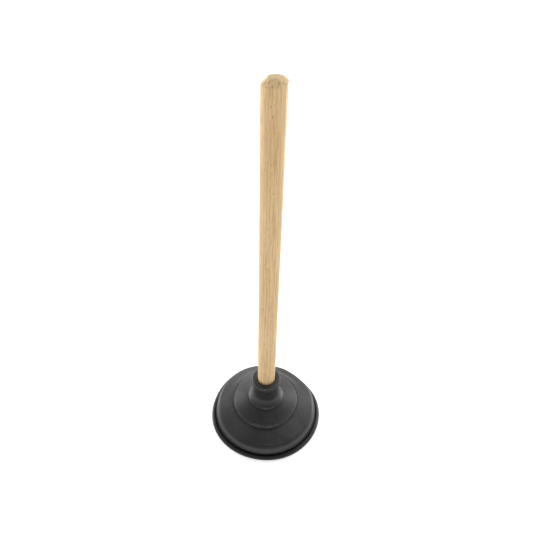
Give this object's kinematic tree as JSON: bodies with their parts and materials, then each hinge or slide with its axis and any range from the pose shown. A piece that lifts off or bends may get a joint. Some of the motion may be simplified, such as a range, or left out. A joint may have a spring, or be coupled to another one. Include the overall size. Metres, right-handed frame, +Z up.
{
  "type": "toilet plunger",
  "caption": "Toilet plunger with a stepped black rubber force cup, a rounded rim bead and a straight wooden handle screwed into the cup's socket.",
  "frame": {"origin": "centre of the cup's rim, on the surface that the plunger stands on", "axes": "+Z up along the handle; X and Y across the cup, which is round"},
  "size_m": [0.15, 0.15, 0.4443],
  "materials": {
    "rubber": "matte, moulded, lightly dusty",
    "handle_wood": "bare sanded pale hardwood",
    "steel": "bright zinc plated"
  },
  "bodies": {
    "cup_base": {"cup_skirt": "rubber"},
    "cup_crown": {"cup_shoulder": "rubber"},
    "neck_root": {"neck_flare": "rubber"},
    "handle_unit": {"neck_socket": "rubber", "handle": "handle_wood", "fixing_washer": "steel", "fixing_screw": "steel"}
  },
  "joints": [
    {"name": "plunge", "type": "slide", "parent": "cup_base", "child": "cup_crown", "axis": [0, 0, 1], "range_m": [-0.015, 0.003], "stiffness_N_per_m": 4000, "springref_m": 0.0005, "deforming": ["cup_skirt"]},
    {"name": "tilt_sideways", "type": "hinge", "parent": "cup_crown", "child": "neck_root", "pos_m": [0, 0, 0.032], "axis": [0, 1, 0], "range_deg": [-10, 10], "stiffness_Nm_per_rad": 15, "deforming": ["cup_shoulder"]},
    {"name": "tilt_fore_and_aft", "type": "hinge", "parent": "neck_root", "child": "handle_unit", "pos_m": [0, 0, 0.038], "axis": [1, 0, 0], "range_deg": [-10, 10], "stiffness_Nm_per_rad": 15, "deforming": ["neck_flare"]}
  ]
}
